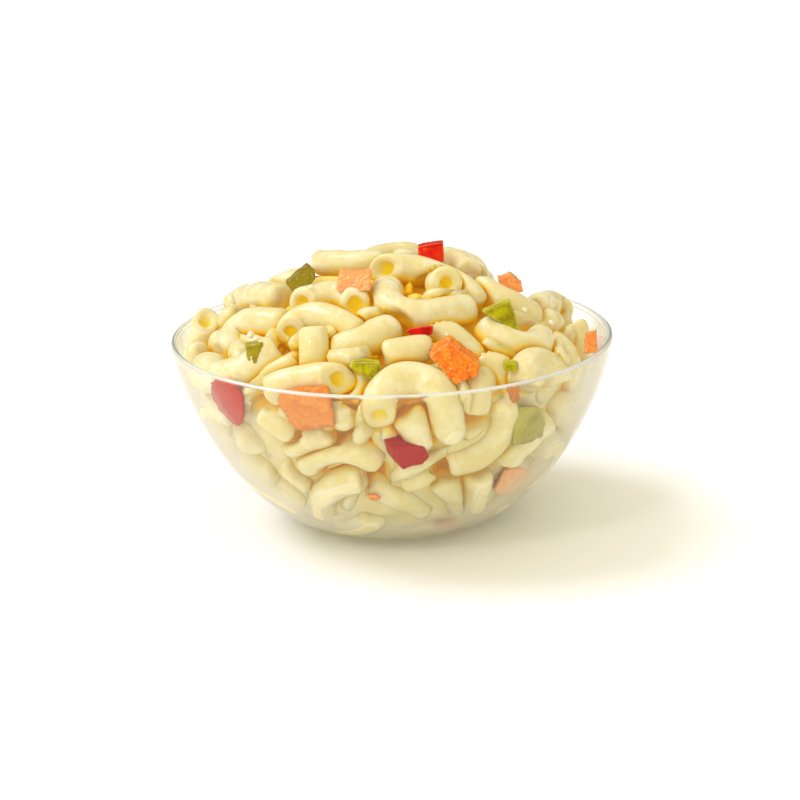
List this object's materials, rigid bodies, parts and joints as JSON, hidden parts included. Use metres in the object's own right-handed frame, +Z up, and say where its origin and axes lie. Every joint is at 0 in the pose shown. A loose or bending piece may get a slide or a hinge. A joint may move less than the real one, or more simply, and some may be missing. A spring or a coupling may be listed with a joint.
{
  "type": "pasta salad in a glass bowl",
  "caption": "Creamy elbow macaroni salad with diced carrot, red and green pepper, heaped in a round clear glass bowl on a flat foot.",
  "frame": {"origin": "middle of the bowl's foot, on the surface that it stands on", "axes": "+Z up along the bowl's axis; -Y is the side that the picture shows, +X to its right"},
  "size_m": [0.142, 0.142, 0.0904],
  "materials": {
    "clear_glass": "clear polished glass",
    "dressed_pasta": "soft cooked pasta, moist with a pale cream dressing",
    "carrot": "moist cut carrot, orange with paler fibres",
    "red_pepper": "glossy red skin with paler cut edges",
    "green_pepper": "glossy green skin with pale cut edges"
  },
  "bodies": {
    "root": {"carrot_back": "carrot", "carrot_behind_1": "carrot", "carrot_behind_10": "carrot", "carrot_behind_13": "carrot", "carrot_behind_16": "carrot", "carrot_behind_4": "carrot", "carrot_behind_7": "carrot", "carrot_centre": "carrot", "carrot_edge": "carrot", "carrot_left": "carrot", "carrot_low": "carrot", "carrot_rim": "carrot", "carrot_sliver": "carrot", "carrot_upper": "carrot", "glass_bowl": "clear_glass", "green_pepper_base": "green_pepper", "green_pepper_behind_12": "green_pepper", "green_pepper_behind_15": "green_pepper", "green_pepper_behind_3": "green_pepper", "green_pepper_behind_6": "green_pepper", "green_pepper_behind_9": "green_pepper", "green_pepper_centre": "green_pepper", "green_pepper_left": "green_pepper", "green_pepper_right": "green_pepper", "green_pepper_small": "green_pepper", "green_pepper_upper": "green_pepper", "green_pepper_wall": "green_pepper", "macaroni_heap": "dressed_pasta", "red_pepper_base": "red_pepper", "red_pepper_behind_11": "red_pepper", "red_pepper_behind_14": "red_pepper", "red_pepper_behind_2": "red_pepper", "red_pepper_behind_5": "red_pepper", "red_pepper_behind_8": "red_pepper", "red_pepper_deep": "red_pepper", "red_pepper_left": "red_pepper", "red_pepper_low": "red_pepper", "red_pepper_top": "red_pepper"}
  },
  "joints": []
}
